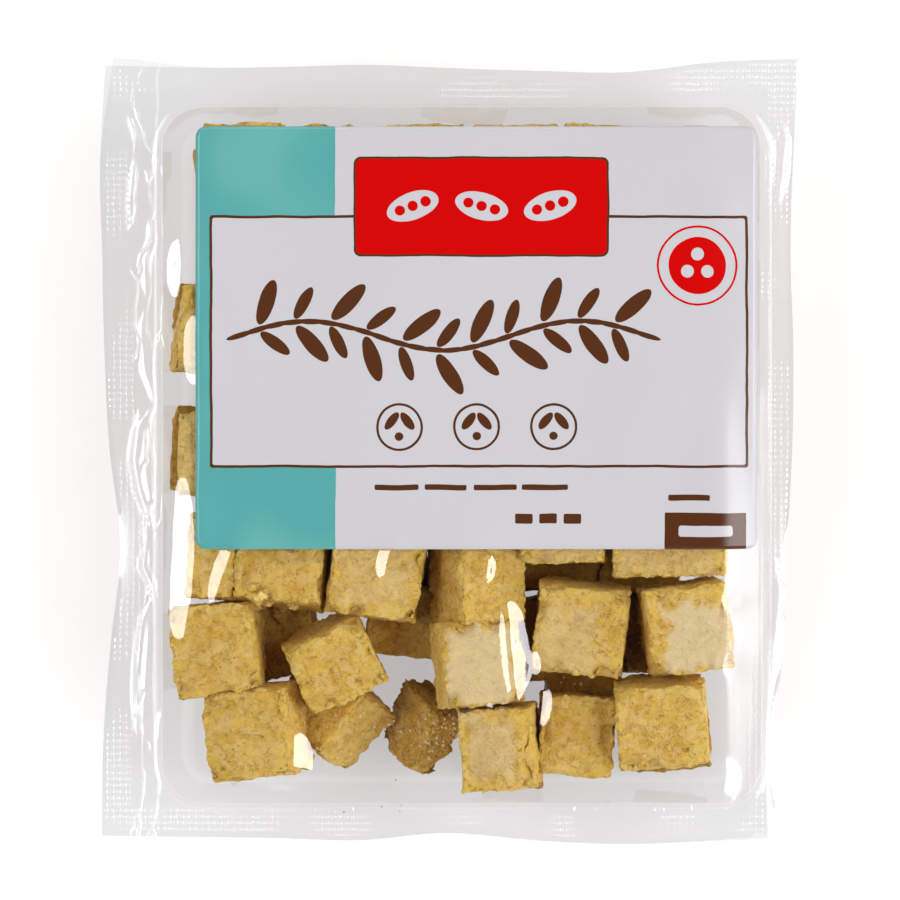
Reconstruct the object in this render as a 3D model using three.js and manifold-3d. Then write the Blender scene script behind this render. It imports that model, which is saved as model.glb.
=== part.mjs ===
// Sealed clear pack of diced tofu, lying on the floor of its deep-drawn pocket, label up.
//
// Millimetres, +Z up. +X is the reading direction of the label, +Y its top edge.
// The origin lies on the resting plane, under the middle of the pack's outline.
//
//   tray      the lower film: a deep-drawn pocket and its half of the sealed flange
//   tofu      the heap of loose cubes in the pocket, two deep
//   lid_film  the flat upper film, welded to the flange and swollen a little over the tofu
//   label     the printed label, stuck on the lid film

import * as THREE from 'three';
import { mergeVertices } from 'three/addons/utils/BufferGeometryUtils.js';
import Module from 'manifold-3d';

// Trimmed outline of the sealed flange
const packWidth = 127.6;
const packLength = 143.8;

// Pocket drawn into the tray film, measured at its rim
const pocketWidth = 109.6;
const pocketLength = 127.6;
const pocketDepth = 32;
const pocketCentreX = 2.1;
const pocketCentreY = -0.9;
const pocketCornerRadius = 7.6;
const wallDraft = 2.6;
const floorRadius = 4.6;
const rimRadius = 1.2;

// Films: each is drawn thicker than the real foil, with a little air between them
const trayThickness = 0.6;
const lidThickness = 0.3;
const filmGap = 0.3;

// The lid film stands proud where the gas and the uppermost cubes lift it
const lidSwell = 1.9;
const ripple = 0.35;
const ripplePitchX = 33;
const ripplePitchY = 38;

// Label
const labelWidth = 102;
const labelHeight = 76.8;
const labelCentreX = 4.8;
const labelCentreY = 20.4;
const labelCornerRadius = 1.9;
const labelThickness = 0.2;
const labelGap = 0.4;

// Tofu: the cubes keep clear of the films
const cubeSide = 15.2;
const lowerCubeSide = 14.2;
const cubeHeight = 16.4;
const tofuClearance = 0.35;
const lowerLayerTop = 17.4;

// The core that joins the heap, out of sight below the tops of the lower layer
const coreWidth = 90;
const coreLength = 100;
const coreHeight = 13;
const coreCentreX = 1;
const coreCentreY = 4;
const coreCentreZ = 7.5;

// Cubes that show in front of the label: the middle of each top face, across, along and up, the cube's
// width and length, its turn about the upright, and its tips about its own X and Y, in degrees
const cubesInFront = [
  [-43, -36.5, 32.4, 15.6, 16.3, 7, 1, -6],
  [-20.7, -39.6, 32.2, 14.8, 12.8, 25, 10, 0],
  [-43.5, -19.3, 30.6, 9, 15, -4, -3, -4],
  [-31, -19.8, 32, 15.8, 15, -5, -8, -4],
  [-13.3, -21.8, 32.5, 16.8, 17, -7, -2, 2],
  [8, -23.6, 31.8, 12.6, 15.6, 2, 0, 23],
  [20.4, -12.7, 32.3, 15.6, 16, 1, 2, 0],
  [-37.3, -51.8, 31.6, 15.8, 16.4, 6, 2, -16],
  [40, -15.3, 32.6, 20.6, 15.6, 1, 2, -1],
  [23.6, -33.3, 32.4, 16.4, 16, -6, 6, -2],
  [43.6, -32.7, 33.3, 15, 15.6, 7, 3, 4],
  [6.2, -38.9, 33.5, 14.9, 15.4, 5, 1, 10],
  [8.4, -54.5, 31.9, 13.6, 15, 4, 2, -9],
  [38.5, -50.7, 31.8, 16.4, 15.2, 4, 8, -2],
  [23.4, -52.3, 26, 13.6, 14.6, -4, 0, 2],
  [-17.1, -52.4, 19.6, 13.2, 14.2, -41, 2, 57],
  [-7.4, -50.6, 15.7, 13.3, 13.3, -7, 24, -50],
];

// Lower layer in front of the label: the middle of each top face and the turn
const cubesBelow = [
  [-43, -37.8, -3], [-32, -33.9, 14], [-8.5, -32, -6], [5.2, -36.5, 6], [24.9, -38.7, -4],
  [37.6, -34.7, 4], [11.8, -54.8, -3], [41, -52, 5],
];

// Rows behind the label, and the first lower row: each is level across the pocket
const cubeRows = [
  { along: 51.5, from: -37.6, to: 44.4, top: 32 },
  { along: 36, from: -37.5, to: 44.4, top: 32 },
  { along: 20.9, from: -41.5, to: 44.4, top: 32 },
  { along: 3, from: -41.5, to: 44.4, top: 32 },
  { along: 43.6, from: -36, to: 43.5, top: lowerLayerTop },
  { along: 28.2, from: -41, to: 44.4, top: lowerLayerTop },
  { along: 12.6, from: -41, to: 44.4, top: lowerLayerTop },
  { along: -2.6, from: -41, to: 44.4, top: lowerLayerTop },
  { along: -17.8, from: -43.7, to: 35.4, top: lowerLayerTop },
];
const cubesPerRow = 6;
const rowTurns = [3, -5, 4, -2, 6, -4];

// How far the trimmed edge is drawn in from the straight blank, at equal steps along each side,
// anticlockwise from the top right corner. The film also droops where it is drawn in.
const topPull = [0.4, 1.3, 3.1, 2.9, 2.4, 1.8, 2.2, 2.2, 0.5];
const leftPull = [2.4, 0.2, 0.5, 0.9, 1.8, 3.8, 2.0, 0.7, 0.4];
const bottomPull = [1.8, 1.5, 1.3, 0.9, 2.2, 0.9, 0.2, 0.7, 1.8];
const rightPull = [3.6, 4.9, 3.1, 2.4, 1.5, 1.3, 1.8, 1.3, 0];
const droopPerPull = 0.2;

// Facets along one side of every loop: half a corner, the straight run, half a corner
const arcSteps = 3;
const straightSteps = 14;

// The four sides, anticlockwise: the way each one runs and the way it faces
const sides = [
  { runX: -1, runY: 0, faceX: 0, faceY: 1, pull: topPull },
  { runX: 0, runY: -1, faceX: -1, faceY: 0, pull: leftPull },
  { runX: 1, runY: 0, faceX: 0, faceY: -1, pull: bottomPull },
  { runX: 0, runY: 1, faceX: 1, faceY: 0, pull: rightPull },
];
for (const side of sides) {
  const knots = side.pull.map((inward, step) => new THREE.Vector2(step, inward));
  side.pullCurve = new THREE.SplineCurve(knots);
}

// Film heights

function lidUnderside(x, y) {
  const across = Math.min(1, Math.abs(x - pocketCentreX) / (pocketWidth / 2));
  const along = Math.min(1, Math.abs(y - pocketCentreY) / (pocketLength / 2));
  const inside = (1 - across ** 4) * (1 - along ** 4);
  const wave = Math.sin((2 * Math.PI * x) / ripplePitchX) * Math.cos((2 * Math.PI * y) / ripplePitchY);
  return pocketDepth + filmGap + inside * (lidSwell + ripple * wave);
}

function flangeHeight(inward, outwards) {
  return pocketDepth - droopPerPull * inward * outwards ** 2;
}

// A loop is a closed ring of points with the same count on every side, so that any two can be
// joined facet by facet. Each point remembers its side and its step on that side.

function roundedLoop(width, length, radius, centreX, centreY, height) {
  const loop = [];
  for (const side of sides) {
    const halfRun = Math.abs(side.runX) * (width / 2) + Math.abs(side.runY) * (length / 2) - radius;
    const halfFace = Math.abs(side.faceX) * (width / 2) + Math.abs(side.faceY) * (length / 2) - radius;
    const place = (run, turn) => {
      const along = run + radius * Math.sin(turn);
      const out = halfFace + radius * Math.cos(turn);
      const x = centreX + side.runX * along + side.faceX * out;
      const y = centreY + side.runY * along + side.faceY * out;
      loop.push(new THREE.Vector3(x, y, height));
    };
    for (let step = 0; step < arcSteps; step += 1) {
      place(-halfRun, (-Math.PI / 4) * (1 - step / arcSteps));
    }
    for (let step = 0; step < straightSteps; step += 1) {
      place(-halfRun + (2 * halfRun * step) / straightSteps, 0);
    }
    for (let step = 0; step < arcSteps; step += 1) {
      place(halfRun, (Math.PI / 4) * (step / arcSteps));
    }
  }
  return loop;
}

const stepsPerSide = 2 * arcSteps + straightSteps;

// The trimmed edge of the flange, with the amount it is drawn in kept on each point.
function trimmedEdge() {
  const rim = roundedLoop(
    pocketWidth, pocketLength, pocketCornerRadius, pocketCentreX, pocketCentreY, pocketDepth);
  const edge = [];
  sides.forEach((side, index) => {
    const before = sides[(index + 3) % 4];
    const after = sides[(index + 1) % 4];
    const halfRun = (Math.abs(side.runX) * packWidth + Math.abs(side.runY) * packLength) / 2;
    const halfFace = (Math.abs(side.faceX) * packWidth + Math.abs(side.faceY) * packLength) / 2;
    const start = -halfRun + before.pull.at(-1);
    const end = halfRun - after.pull[0];
    const runOf = (point) => point.x * side.runX + point.y * side.runY;
    const straightStart = runOf(rim[index * stepsPerSide + arcSteps]);
    for (let step = 0; step < stepsPerSide; step += 1) {
      let run = runOf(rim[index * stepsPerSide + step]);
      if (step < arcSteps) {
        run = THREE.MathUtils.lerp(start, straightStart, step / arcSteps);
      } else if (step > arcSteps + straightSteps) {
        const straightEnd = runOf(rim[index * stepsPerSide + arcSteps + straightSteps]);
        run = THREE.MathUtils.lerp(straightEnd, end, (step - arcSteps - straightSteps) / arcSteps);
      }
      const inward = side.pullCurve.getPoint((run - start) / (end - start)).y;
      const out = halfFace - inward;
      const x = side.runX * run + side.faceX * out;
      const y = side.runY * run + side.faceY * out;
      edge.push({ x, y, inward });
    }
  });
  return edge;
}

const edge = trimmedEdge();

// A loop on the flange: outwards is 0 at the pocket's rim and 1 at the trimmed edge.
function flangeLoop(outwards, lift) {
  const rim = roundedLoop(
    pocketWidth + 2 * rimRadius, pocketLength + 2 * rimRadius, pocketCornerRadius + rimRadius,
    pocketCentreX, pocketCentreY, pocketDepth);
  return rim.map((point, index) => {
    const trimmed = edge[index];
    const x = THREE.MathUtils.lerp(point.x, trimmed.x, outwards);
    const y = THREE.MathUtils.lerp(point.y, trimmed.y, outwards);
    return new THREE.Vector3(x, y, flangeHeight(trimmed.inward, outwards) + lift);
  });
}

// A loop on the pocket's wall, at an inset from the rim.
function pocketLoop(inset, height) {
  const radius = Math.max(1, pocketCornerRadius - inset);
  return roundedLoop(
    pocketWidth - 2 * inset, pocketLength - 2 * inset, radius, pocketCentreX, pocketCentreY, height);
}

// Joins loops in order, from a closing point below to a closing point above.
function closedSolid(first, loops, last) {
  const count = loops[0].length;
  const points = [first, ...loops.flat(), last];
  const faces = [];
  const at = (loop, index) => 1 + loop * count + (index % count);
  for (let index = 0; index < count; index += 1) {
    faces.push(0, at(0, index + 1), at(0, index));
    for (let loop = 1; loop < loops.length; loop += 1) {
      faces.push(at(loop - 1, index), at(loop, index + 1), at(loop, index));
      faces.push(at(loop - 1, index), at(loop - 1, index + 1), at(loop, index + 1));
    }
    faces.push(points.length - 1, at(loops.length - 1, index), at(loops.length - 1, index + 1));
  }
  const geometry = new THREE.BufferGeometry().setFromPoints(points);
  geometry.setIndex(faces);
  geometry.computeVertexNormals();
  return geometry;
}

const pocketCentre = (height) => new THREE.Vector3(pocketCentreX, pocketCentreY, height);

const wallTop = pocketDepth - trayThickness - rimRadius;

// Profile of the drawn pocket at an offset in from its outside, from the floor up to the wall's top.
function pocketProfile(offset) {
  const loops = [];
  const radius = floorRadius - offset;
  for (let step = 0; step <= 3; step += 1) {
    const turn = (Math.PI / 2) * (step / 3);
    const inset = wallDraft + offset + radius * (1 - Math.sin(turn));
    loops.push(pocketLoop(inset, offset + radius * (1 - Math.cos(turn))));
  }
  loops.push(pocketLoop(offset, wallTop));
  return loops;
}

// The rim's fillet, from the wall's top outwards, at an offset in from the outside.
function rimFillet(offset) {
  const radius = rimRadius + offset;
  const turn = Math.PI / 4;
  return pocketLoop(-rimRadius + radius * Math.cos(turn), wallTop + radius * Math.sin(turn));
}

// Shares of the way from the pocket's rim to the trimmed edge at which the flange has a loop
const flangeRings = [0, 0.35, 0.7, 1];

// Tray: up the outside, out along the underside of the flange, and back over it into the pocket.
function trayGeometry() {
  const outside = [...pocketProfile(0), rimFillet(0)];
  const inside = [...pocketProfile(trayThickness), rimFillet(trayThickness)].reverse();
  const loops = [
    ...outside,
    ...flangeRings.map((outwards) => flangeLoop(outwards, -trayThickness)),
    ...[...flangeRings].reverse().map((outwards) => flangeLoop(outwards, 0)),
    ...inside,
  ];
  return closedSolid(pocketCentre(0), loops, pocketCentre(trayThickness));
}

// Shares of the way from the pocket's middle to its rim at which the swollen film has a loop
const domeRings = [0.25, 0.5, 0.7, 0.85, 0.95];

// A loop that follows the underside of the lid film, a share of the way from the middle to the rim.
function domeLoop(share, lift) {
  return pocketLoop(0, 0).map((point) => {
    const x = THREE.MathUtils.lerp(pocketCentreX, point.x, share);
    const y = THREE.MathUtils.lerp(pocketCentreY, point.y, share);
    return new THREE.Vector3(x, y, lidUnderside(x, y) + lift);
  });
}

// The room that the tofu may fill, a clearance away from the tray and the lid film.
function roomGeometry() {
  const inset = trayThickness + tofuClearance;
  const loops = [
    ...pocketProfile(inset),
    ...[...domeRings].reverse().map((share) => domeLoop(share, -tofuClearance)),
  ];
  const middle = lidUnderside(pocketCentreX, pocketCentreY) - tofuClearance;
  return closedSolid(pocketCentre(inset), loops, pocketCentre(middle));
}

function cubeGeometry(x, y, top, width, length, turn, tipX, tipY) {
  const { degToRad } = THREE.MathUtils;
  const turned = new THREE.Matrix4().makeRotationFromEuler(
    new THREE.Euler(degToRad(tipX), degToRad(tipY), degToRad(turn), 'ZXY'));
  return new THREE.BoxGeometry(width, length, cubeHeight)
    .translate(0, 0, -cubeHeight / 2)
    .applyMatrix4(turned)
    .translate(x, y, top);
}

// Every cube of the heap, in front of the label, below and behind.
function cubeGeometries() {
  const cubes = cubesInFront.map((cube) => cubeGeometry(...cube));
  for (const [x, y, turn] of cubesBelow) {
    cubes.push(cubeGeometry(x, y, lowerLayerTop, lowerCubeSide, lowerCubeSide, turn, 0, 0));
  }
  cubeRows.forEach((row, rowIndex) => {
    for (let column = 0; column < cubesPerRow; column += 1) {
      const x = THREE.MathUtils.lerp(row.from, row.to, column / (cubesPerRow - 1));
      const turn = rowTurns[(column + rowIndex) % rowTurns.length];
      cubes.push(cubeGeometry(x, row.along, row.top, cubeSide, cubeSide, turn, 0, 0));
    }
  });
  return cubes;
}

const wasm = await Module();
wasm.setup();

const weldDistance = 1e-4;

function toManifold(geometry) {
  const bare = geometry.clone();
  bare.deleteAttribute('normal');
  bare.deleteAttribute('uv');
  const merged = mergeVertices(bare, weldDistance);
  return new wasm.Manifold(new wasm.Mesh({
    numProp: 3,
    vertProperties: new Float32Array(merged.attributes.position.array),
    triVerts: new Uint32Array(merged.index.array),
  }));
}

// Tofu: the cubes joined to the core as one heap and cut back to the room inside the films.
function tofuGeometry() {
  const core = new THREE.BoxGeometry(coreWidth, coreLength, coreHeight)
    .translate(coreCentreX, coreCentreY, coreCentreZ);
  const heap = cubeGeometries().map(toManifold).reduce((joined, cube) => joined.add(cube), toManifold(core));
  const fitted = heap.intersect(toManifold(roomGeometry()));
  const mesh = fitted.getMesh();
  const geometry = new THREE.BufferGeometry();
  geometry.setAttribute('position', new THREE.BufferAttribute(mesh.vertProperties, 3));
  geometry.setIndex(new THREE.BufferAttribute(mesh.triVerts, 1));
  geometry.computeVertexNormals();
  return geometry;
}

// Lid film: rings out from the middle of the pocket to the trimmed edge, below and then above.
function lidFilmGeometry() {
  const below = [
    ...domeRings.map((share) => domeLoop(share, 0)),
    ...flangeRings.map((outwards) => flangeLoop(outwards, filmGap)),
  ];
  const above = [
    ...domeRings.map((share) => domeLoop(share, lidThickness)),
    ...flangeRings.map((outwards) => flangeLoop(outwards, filmGap + lidThickness)),
  ].reverse();
  const middle = lidUnderside(pocketCentreX, pocketCentreY);
  return closedSolid(pocketCentre(middle), [...below, ...above], pocketCentre(middle + lidThickness));
}

// Label: a thin sheet with rounded corners that follows the lid film.
function labelGeometry() {
  const rings = [0.2, 0.4, 0.6, 0.8, 1];
  const underside = lidThickness + labelGap;
  const outline = roundedLoop(
    labelWidth, labelHeight, labelCornerRadius, labelCentreX, labelCentreY, 0);
  const lidLoop = (share, lift) => outline.map((point) => {
    const x = THREE.MathUtils.lerp(labelCentreX, point.x, share);
    const y = THREE.MathUtils.lerp(labelCentreY, point.y, share);
    return new THREE.Vector3(x, y, lidUnderside(x, y) + lift);
  });
  const below = rings.map((share) => lidLoop(share, underside));
  const above = rings.map((share) => lidLoop(share, underside + labelThickness)).reverse();
  const middle = lidUnderside(labelCentreX, labelCentreY) + underside;
  const centre = (height) => new THREE.Vector3(labelCentreX, labelCentreY, height);
  return closedSolid(centre(middle), [...below, ...above], centre(middle + labelThickness));
}

// Materials

const trayFilm = new THREE.MeshStandardMaterial({
  name: 'tray_film', color: 0xe6e2dc, roughness: 0.2, metalness: 0, transparent: true, opacity: 0.35,
});
const curd = new THREE.MeshStandardMaterial({
  name: 'tofu', color: 0xd0ab66, roughness: 0.75, metalness: 0,
});
const lidFilm = new THREE.MeshStandardMaterial({
  name: 'lid_film', color: 0xe6e6ea, roughness: 0.15, metalness: 0, transparent: true, opacity: 0.25,
});
const labelPaper = new THREE.MeshStandardMaterial({
  name: 'label', color: 0xd8d6da, roughness: 0.55, metalness: 0,
});

// Assembly

const group = new THREE.Group();

function addNode(name, geometry, material) {
  const mesh = new THREE.Mesh(geometry, material);
  mesh.name = name;
  group.add(mesh);
}

addNode('tray', trayGeometry(), trayFilm);
addNode('tofu', tofuGeometry(), curd);
addNode('lid_film', lidFilmGeometry(), lidFilm);
addNode('label', labelGeometry(), labelPaper);

// The outline's middle goes over the origin.
const box = new THREE.Box3().setFromObject(group);
group.position.set(-(box.min.x + box.max.x) / 2, -(box.min.y + box.max.y) / 2, 0);

export default group;
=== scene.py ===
"""Sealed clear pack of diced tofu: two welded films, a printed label and the loose cubes inside."""

import math
import random

import bmesh
import bpy
import numpy as np
from mathutils import Matrix, Vector, noise
from mathutils.bvhtree import BVHTree


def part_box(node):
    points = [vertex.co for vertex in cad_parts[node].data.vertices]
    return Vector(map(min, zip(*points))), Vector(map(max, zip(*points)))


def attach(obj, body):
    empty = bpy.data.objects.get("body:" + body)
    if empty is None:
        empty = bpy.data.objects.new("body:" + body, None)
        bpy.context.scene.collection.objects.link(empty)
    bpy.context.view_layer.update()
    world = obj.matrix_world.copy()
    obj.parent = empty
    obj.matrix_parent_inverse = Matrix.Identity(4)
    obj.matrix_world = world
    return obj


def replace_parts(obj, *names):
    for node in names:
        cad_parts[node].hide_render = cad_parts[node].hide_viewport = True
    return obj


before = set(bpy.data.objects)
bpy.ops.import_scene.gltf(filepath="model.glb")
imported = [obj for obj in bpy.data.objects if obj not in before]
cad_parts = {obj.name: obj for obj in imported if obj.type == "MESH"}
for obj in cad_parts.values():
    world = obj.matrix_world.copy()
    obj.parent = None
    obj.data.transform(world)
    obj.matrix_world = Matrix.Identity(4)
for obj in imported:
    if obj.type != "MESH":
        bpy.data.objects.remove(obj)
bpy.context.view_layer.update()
finer = 3       # a finer grid of film needs this many times more passes
scene = bpy.context.scene

# ---- Sizes, in millimetres. Places are taken from the middle of the film blank ----

MM = 0.001

BLANK = (127.6, 143.8)          # trimmed flange, before its edges are drawn in
POCKET = (109.6, 127.6)         # pocket at its rim
POCKET_MIDDLE = (2.1, -0.9)
POCKET_DEPTH = 32.0
POCKET_CORNER = 7.6
WALL_DRAFT = 2.6
FLOOR_RADIUS = 4.6
RIM_RADIUS = 1.2

LABEL = (102.0, 76.8)
LABEL_MIDDLE = (4.8, 20.4)
LABEL_CORNER = 1.9

WELD_HEIGHT = POCKET_DEPTH + 0.35   # where the lid film lies on the flange
TRAY_BELOW_LID = 0.2
LABEL_ABOVE_FILM = 0.22
DROOP_PER_PULL = 0.2
SEAL_BAND = (0.9, 5.4)          # knurled weld, from the trimmed edge inwards

# How far each trimmed edge is drawn in, at equal steps, anticlockwise from the top right corner
TOP_PULL = (0.4, 1.3, 3.1, 2.9, 2.4, 1.8, 2.2, 2.2, 0.5)
LEFT_PULL = (2.4, 0.2, 0.5, 0.9, 1.8, 3.8, 2.0, 0.7, 0.4)
BOTTOM_PULL = (1.8, 1.5, 1.3, 0.9, 2.2, 0.9, 0.2, 0.7, 1.8)
RIGHT_PULL = (3.6, 4.9, 3.1, 2.4, 1.5, 1.3, 1.8, 1.3, 0.0)

# The blank's middle lies where the label's solid says it does.
label_low, label_high = (Vector(corner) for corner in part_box("label"))
label_middle = (label_low + label_high) / 2
BLANK_SHIFT = Vector((label_middle.x / MM - LABEL_MIDDLE[0], label_middle.y / MM - LABEL_MIDDLE[1], 0))


# ---- Getting shapes into the scene ----

def into_mesh(name, bm):
    mesh = bpy.data.meshes.new(name)
    bm.to_mesh(mesh)
    bm.free()
    return mesh


def finish_piece(name, bm, material):
    """Turn a shape drawn in millimetres into a piece that rides on the pack."""
    bmesh.ops.translate(bm, verts=bm.verts, vec=BLANK_SHIFT)
    bmesh.ops.scale(bm, verts=bm.verts, vec=(MM, MM, MM))
    mesh = into_mesh(name, bm)
    mesh.materials.append(material)
    mesh.polygons.foreach_set("use_smooth", [True] * len(mesh.polygons))
    piece = bpy.data.objects.new(name, mesh)
    scene.collection.objects.link(piece)
    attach(piece, "root")
    return piece


def drawn_in(pulls, share):
    """Smooth curve through equally spaced pulls, read at a share of the side's length."""
    knots = np.array(pulls)
    last = len(knots) - 1
    at = np.clip(share, 0, 1) * last
    i = np.minimum(np.floor(at).astype(int), last - 1)
    t = at - i
    a, b, c, d = knots[np.maximum(i - 1, 0)], knots[i], knots[i + 1], knots[np.minimum(i + 2, last)]
    return 0.5 * (2 * b + (c - a) * t + (2 * a - 5 * b + 4 * c - d) * t**2 + (3 * b - a - 3 * c + d) * t**3)


def edge_gaps(x, y):
    """Distance inwards from each trimmed edge, the flange's width there and the pull there."""
    half_w, half_l = BLANK[0] / 2, BLANK[1] / 2
    along_x, along_y = x / BLANK[0] + 0.5, y / BLANK[1] + 0.5
    rim_x, rim_y = POCKET[0] / 2, POCKET[1] / 2
    top, left = drawn_in(TOP_PULL, 1 - along_x), drawn_in(LEFT_PULL, 1 - along_y)
    bottom, right = drawn_in(BOTTOM_PULL, along_x), drawn_in(RIGHT_PULL, along_y)
    return (
        (half_l - top - y, half_l - top - POCKET_MIDDLE[1] - rim_y, top),
        (x + half_w - left, half_w - left + POCKET_MIDDLE[0] - rim_x, left),
        (y + half_l - bottom, half_l - bottom + POCKET_MIDDLE[1] - rim_y, bottom),
        (half_w - right - x, half_w - right - POCKET_MIDDLE[0] - rim_x, right),
    )


def pocket_gap(x, y):
    """Signed distance to the pocket's rim, negative inside."""
    across = np.abs(x - POCKET_MIDDLE[0]) - POCKET[0] / 2 + POCKET_CORNER
    along = np.abs(y - POCKET_MIDDLE[1]) - POCKET[1] / 2 + POCKET_CORNER
    outside = np.hypot(np.maximum(across, 0), np.maximum(along, 0))
    return outside + np.minimum(np.maximum(across, along), 0) - POCKET_CORNER


def smoothstep(low, high, value):
    t = np.clip((value - low) / (high - low), 0, 1)
    return t * t * (3 - 2 * t)


def film_noise(x, y, pitch_x, pitch_y, seed):
    """Soft noise between -1 and 1 over arrays of places, longer one way than the other."""
    flat = [
        noise.noise(Vector((px / pitch_x, py / pitch_y, seed)))
        for px, py in zip(np.ravel(x), np.ravel(y))
    ]
    return np.array(flat).reshape(np.shape(x))


def flange_height(x, y):
    """Height of the lid film on the flange, which droops where its edge is drawn in."""
    height = np.full(np.shape(x), WELD_HEIGHT)
    for gap, width, pull in edge_gaps(x, y):
        outwards = np.clip(1 - gap / width, 0, 1)
        height = height - DROOP_PER_PULL * pull * outwards**2
    return height


# ---- Node helpers ----

def feed(tree, socket, value):
    if isinstance(value, bpy.types.NodeSocket):
        tree.links.new(value, socket)
    elif value is not None:
        socket.default_value = value


def node(tree, kind, inputs=(), **settings):
    """A new node, with its settings made, and its sockets linked or set by name or number."""
    made = tree.nodes.new(kind)
    for key, value in settings.items():
        setattr(made, key, value)
    for key, value in dict(inputs).items():
        feed(tree, made.inputs[key], value)
    return made


def new_material(name):
    """An empty material, its tree, and the place on the piece that patterns are read at."""
    material = bpy.data.materials.new(name)
    material.use_nodes = True
    tree = material.node_tree
    tree.nodes.clear()
    return material, tree, node(tree, "ShaderNodeTexCoord").outputs["Object"]


def coat(tree, shader):
    node(tree, "ShaderNodeOutputMaterial", {"Surface": shader.outputs[0]})


def mixed(tree, share, first, second):
    """Shader that is the second one by a share, and otherwise the first."""
    return node(tree, "ShaderNodeMixShader", enumerate((share, first.outputs[0], second.outputs[0])))


def number_of(tree, operation, a, b=None, c=None, clamp=False):
    made = node(tree, "ShaderNodeMath", enumerate((a, b, c)), operation=operation, use_clamp=clamp)
    return made.outputs[0]


def times(tree, a, b):
    return number_of(tree, "MULTIPLY", a, b)


def vector_of(tree, operation, a, b=None):
    made = node(tree, "ShaderNodeVectorMath", enumerate((a, b)), operation=operation)
    return made.outputs["Value" if operation == "LENGTH" else "Vector"]


def blend(tree, share, first, second, mode="MIX"):
    sockets = {"Factor": share, "A": first, "B": second}
    return node(tree, "ShaderNodeMix", sockets, data_type="RGBA", blend_type=mode).outputs["Result"]


def ramp(tree, value, low, high, to_low=0.0, to_high=1.0):
    sockets = {"Value": value, "From Min": low, "From Max": high, "To Min": to_low, "To Max": to_high}
    return node(tree, "ShaderNodeMapRange", sockets, interpolation_type="SMOOTHSTEP").outputs["Result"]


def slant_of(tree, power, normal=None):
    """How far the surface turns away from the eye, from 0 to 1."""
    made = node(tree, "ShaderNodeLayerWeight", {"Blend": 0.5, "Normal": normal})
    return number_of(tree, "POWER", made.outputs["Facing"], power)


def grain(tree, place, pitch, detail=2.0, roughness=0.5):
    """Noise whose grains are about pitch millimetres across."""
    sockets = {"Vector": place, "Scale": 1 / (pitch * MM), "Detail": detail, "Roughness": roughness}
    return node(tree, "ShaderNodeTexNoise", sockets).outputs["Fac"]


def pushed_about(tree, place, pitch, reach, start=None):
    """The place, or another start, pushed by the place's noise up to half its reach each way."""
    made = node(tree, "ShaderNodeTexNoise", {"Vector": place, "Scale": 1 / (pitch * MM)})
    push = vector_of(tree, "SUBTRACT", made.outputs["Color"], (0.5, 0.5, 0.5))
    start = place if start is None else start
    return vector_of(tree, "ADD", start, vector_of(tree, "MULTIPLY", push, reach))


def raised(tree, height, strength, distance, under=None):
    """Normal of a surface that stands up where height does, by distance millimetres."""
    sockets = {"Strength": strength, "Distance": distance * MM, "Height": height, "Normal": under}
    return node(tree, "ShaderNodeBump", sockets).outputs["Normal"]


def cells(tree, place, pitch, feature="F1", randomness=1.0):
    sockets = {"Vector": place, "Scale": 1 / (pitch * MM), "Randomness": randomness}
    return node(tree, "ShaderNodeTexVoronoi", sockets, feature=feature).outputs["Distance"]


def from_mesh(tree, name):
    return node(tree, "ShaderNodeAttribute", attribute_name=name).outputs["Fac"]


def colour(red, green, blue):
    """Linear colour from the 0 to 255 values of a paint chart."""
    linear = []
    for value in (red, green, blue):
        share = value / 255
        linear.append(share / 12.92 if share <= 0.04045 else ((share + 0.055) / 1.055) ** 2.4)
    return (*linear, 1.0)


# ---- Materials ----

SLANTED_FILM = (0.80, 0.79, 0.785, 1)   # a film seen nearly edge on lets this much through


def clear_film(name, tint, reflect, edge_shine, haze, welded):
    """Thin clear film: lets light through, darkened a little, and mirrors lamps more at a slant."""
    material, tree, place = new_material(name)
    normal = raised(tree, grain(tree, place, 7.0, 2.0), 0.10, 0.4)
    if welded:
        dots = ramp(tree, cells(tree, place, 1.15, randomness=0.15), 0.18, 0.42, 1.0, 0.0)
        patchy = ramp(tree, grain(tree, place, 14.0, 1.0), 0.40, 0.62)
        pressed = times(tree, times(tree, dots, from_mesh(tree, "seal")), patchy)
        normal = raised(tree, pressed, 0.6, 0.12, normal)
        drawn = vector_of(tree, "MULTIPLY", place, (1.0, 0.22, 1.0))
        strayed = pushed_about(tree, place, 9.0, (0.004, 0.004, 0.0), drawn)
        creases = cells(tree, strayed, 3.6, "DISTANCE_TO_EDGE")
        slack = times(tree, ramp(tree, creases, 0.0, 0.07, 1.0, 0.0), from_mesh(tree, "slack"))
        normal = raised(tree, slack, 0.8, 0.22, normal)
    haze = number_of(tree, "MULTIPLY_ADD", from_mesh(tree, "dull"), 0.2, haze) if welded else haze
    share = number_of(tree, "MULTIPLY_ADD", slant_of(tree, 4.0, normal), edge_shine, reflect, clamp=True)
    seen = blend(tree, slant_of(tree, 8.0, normal), tint, SLANTED_FILM, mode="MULTIPLY")
    through = node(tree, "ShaderNodeBsdfTransparent", {"Color": seen})
    mirror = node(tree, "ShaderNodeBsdfPrincipled", {
        "Base Color": (0.96, 0.96, 0.98, 1),
        "Metallic": 1.0,
        "Roughness": haze,
        "Normal": normal,
    })
    coat(tree, mixed(tree, share, through, mirror))
    return material


CURD = colour(245, 205, 103)
CURD_DEEP = colour(231, 183, 75)
CURD_GOLD_AND_HIGHLIGHT = colour(255, 216, 98)
CURD_PALE_HIGHLIGHT = colour(254, 224, 160)
CURD_BROWN_AND_SHADE = colour(172, 112, 18)
CURD_CLING_AND_PAINTED_LIGHT = colour(248, 225, 174)
CURD_WET_AND_SHADE = colour(186, 159, 60)
CURD_DARK_BATCH = colour(238, 230, 212)


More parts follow.
